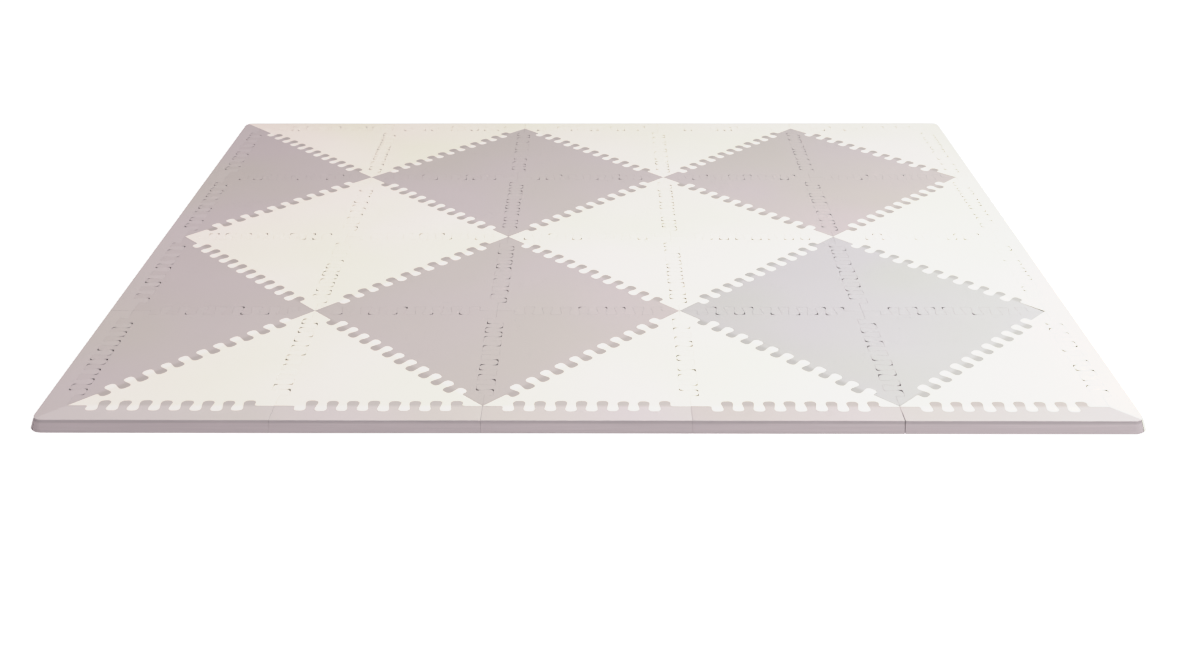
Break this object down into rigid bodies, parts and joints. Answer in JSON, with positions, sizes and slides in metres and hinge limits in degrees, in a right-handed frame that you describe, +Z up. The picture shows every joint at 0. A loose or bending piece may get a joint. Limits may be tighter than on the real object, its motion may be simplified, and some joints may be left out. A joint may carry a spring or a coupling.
{
  "type": "interlocking foam play mat",
  "caption": "Rectangular foam floor mat of triangular jigsaw tiles in grey and cream diamonds, framed by straight border strips with a sloping outer side.",
  "frame": {"origin": "middle of the underside, where the mat lies on the floor", "axes": "+X along the longer side from left to right in the picture, +Y from the front edge to the back edge, +Z up"},
  "size_m": [1.775, 1.44, 0.02],
  "materials": {
    "foam_grey": "matte closed-cell foam, fine grain, warm light grey",
    "foam_cream": "matte closed-cell foam, fine grain, pale cream"
  },
  "bodies": {
    "root": {"strip_cream_back_1": "foam_cream", "strip_cream_back_2": "foam_cream", "strip_cream_back_3": "foam_cream", "strip_cream_back_4": "foam_cream", "strip_cream_back_5": "foam_cream", "strip_cream_right_1": "foam_cream", "strip_cream_right_2": "foam_cream", "strip_cream_right_3": "foam_cream", "strip_cream_right_4": "foam_cream", "strip_grey_front_1": "foam_grey", "strip_grey_front_2": "foam_grey", "strip_grey_front_3": "foam_grey", "strip_grey_front_4": "foam_grey", "strip_grey_front_5": "foam_grey", "strip_grey_left_1": "foam_grey", "strip_grey_left_2": "foam_grey", "strip_grey_left_3": "foam_grey", "strip_grey_left_4": "foam_grey", "tile_cream_1_1": "foam_cream", "tile_cream_1_2": "foam_cream", "tile_cream_1_3": "foam_cream", "tile_cream_1_4": "foam_cream", "tile_cream_2_1": "foam_cream", "tile_cream_2_2": "foam_cream", "tile_cream_2_3": "foam_cream", "tile_cream_2_4": "foam_cream", "tile_cream_3_1": "foam_cream", "tile_cream_3_2": "foam_cream", "tile_cream_3_3": "foam_cream", "tile_cream_3_4": "foam_cream", "tile_cream_4_1": "foam_cream", "tile_cream_4_2": "foam_cream", "tile_cream_4_3": "foam_cream", "tile_cream_4_4": "foam_cream", "tile_cream_5_1": "foam_cream", "tile_cream_5_2": "foam_cream", "tile_cream_5_3": "foam_cream", "tile_cream_5_4": "foam_cream", "tile_grey_1_1": "foam_grey", "tile_grey_1_2": "foam_grey", "tile_grey_1_3": "foam_grey", "tile_grey_1_4": "foam_grey", "tile_grey_2_1": "foam_grey", "tile_grey_2_2": "foam_grey", "tile_grey_2_3": "foam_grey", "tile_grey_2_4": "foam_grey", "tile_grey_3_1": "foam_grey", "tile_grey_3_2": "foam_grey", "tile_grey_3_3": "foam_grey", "tile_grey_3_4": "foam_grey", "tile_grey_4_1": "foam_grey", "tile_grey_4_2": "foam_grey", "tile_grey_4_3": "foam_grey", "tile_grey_4_4": "foam_grey", "tile_grey_5_1": "foam_grey", "tile_grey_5_2": "foam_grey", "tile_grey_5_3": "foam_grey", "tile_grey_5_4": "foam_grey"}
  },
  "joints": []
}
